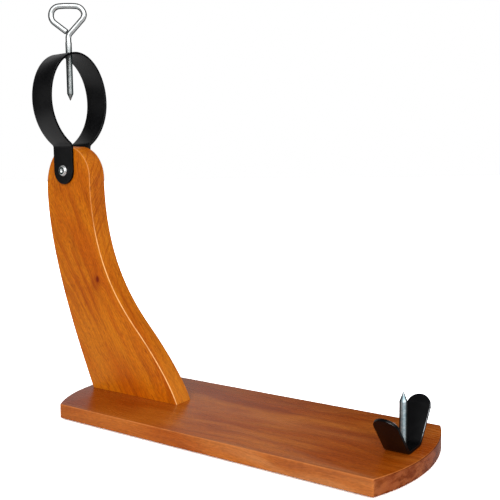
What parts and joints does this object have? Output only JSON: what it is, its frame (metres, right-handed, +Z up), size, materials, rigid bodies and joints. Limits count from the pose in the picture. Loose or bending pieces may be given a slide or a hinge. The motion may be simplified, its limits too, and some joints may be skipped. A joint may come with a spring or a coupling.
{
  "type": "ham holder stand",
  "caption": "Wooden ham holder: a flat board with a curved upright arm, a steel collar with an eye screw that clamps the shank, and a spiked cradle for the thick end.",
  "frame": {"origin": "on the ground under the middle of the whole stand's box", "axes": "+X runs from the arm towards the spiked cradle, +Z is up, and +Y points away from the side with the clamp bolt's head"},
  "size_m": [0.4564, 0.15, 0.4478],
  "materials": {
    "arm_wood": "honey-coloured varnish, semi-gloss",
    "board_wood": "darker brown varnish, semi-gloss",
    "black_paint": "satin black paint on steel strip",
    "zinc_plate": "bright zinc plate",
    "insert_brass": "machined brass",
    "foot_rubber": "matt black rubber"
  },
  "bodies": {
    "stand": {"base_board": "board_wood", "arm": "arm_wood", "cradle_plate": "black_paint", "spike": "zinc_plate", "spike_washer": "zinc_plate", "spike_nut": "zinc_plate", "clamp_bolt": "zinc_plate", "clamp_washer": "zinc_plate", "clamp_nut": "zinc_plate", "arm_bolt_1": "zinc_plate", "arm_bolt_2": "zinc_plate", "arm_bolt_washer_1": "zinc_plate", "arm_bolt_washer_2": "zinc_plate", "arm_insert_1": "insert_brass", "arm_insert_2": "insert_brass", "foot_arm_front": "foot_rubber", "foot_arm_back": "foot_rubber", "foot_cradle_front": "foot_rubber", "foot_cradle_back": "foot_rubber"},
    "collar": {"collar_strap": "black_paint"},
    "clamp_screw": {"eye_screw": "zinc_plate"}
  },
  "joints": [
    {"name": "collar_tilt", "type": "hinge", "parent": "stand", "child": "collar", "pos_m": [-0.197, 0, 0.2616], "axis": [0, 1, 0], "range_deg": [-90, 90]},
    {"name": "screw_travel", "type": "slide", "parent": "collar", "child": "clamp_screw", "axis": [0, 0, 1], "range_m": [-0.012, 0.04]}
  ]
}
